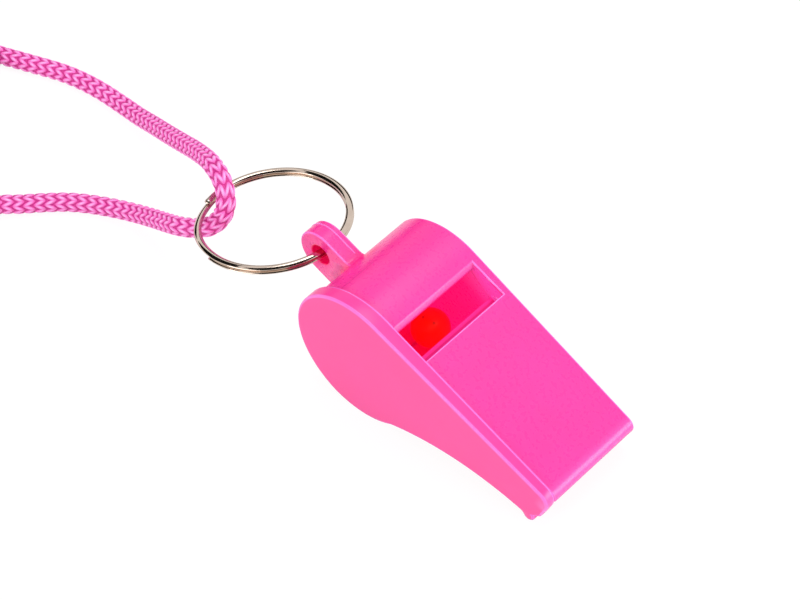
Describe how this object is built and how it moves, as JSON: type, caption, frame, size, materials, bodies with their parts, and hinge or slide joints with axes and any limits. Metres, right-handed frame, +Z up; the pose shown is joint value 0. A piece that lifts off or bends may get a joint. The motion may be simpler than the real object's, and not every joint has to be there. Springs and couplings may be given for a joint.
{
  "type": "sports_whistle",
  "caption": "Pea whistle in hot pink plastic with a bonded side cover, tapered airway, rear lug, steel split ring and a knitted neck cord looped through the ring.",
  "frame": {"origin": "On the table under the middle of the box of the whistle and split ring, without the cord.", "axes": "+X runs from the split ring toward the mouthpiece, +Y from the side cover toward the far wall, +Z up from the table."},
  "size_m": [0.1631, 0.0502, 0.0226],
  "materials": {
    "body_plastic": "hot pink moulded plastic, satin gloss",
    "cover_plastic": "hot pink moulded plastic, satin gloss, bare face",
    "pea_plastic": "orange-red pea, smooth",
    "ring_steel": "nickel-plated spring steel",
    "cord_knit": "round knitted cord, light and darker pink stitches",
    "crimp_metal": "pressed metal sleeve"
  },
  "bodies": {
    "lanyard": {"lanyard_loop": "cord_knit", "lanyard_coil": "cord_knit", "lanyard_tail": "cord_knit", "cord_crimp": "crimp_metal"},
    "ring": {"split_ring": "ring_steel"},
    "whistle": {"body_shell": "body_plastic", "side_cover": "cover_plastic"},
    "ball": {"pea": "pea_plastic"}
  },
  "joints": [
    {"name": "ring_lift", "type": "hinge", "parent": "lanyard", "child": "ring", "pos_m": [-0.03432, -0.00228, 0.01413], "axis": [0.208, -0.9745, 0.0839], "range_deg": [0, 60]},
    {"name": "lug_swing", "type": "hinge", "parent": "ring", "child": "whistle", "pos_m": [-0.01302, 0, 0.01651], "axis": [0, -1, 0], "range_deg": [0, 120]},
    {"name": "pea_orbit", "type": "hinge", "parent": "whistle", "child": "ball", "pos_m": [0.00124, 0.005, 0.0113], "axis": [0, -1, 0], "continuous": true}
  ]
}
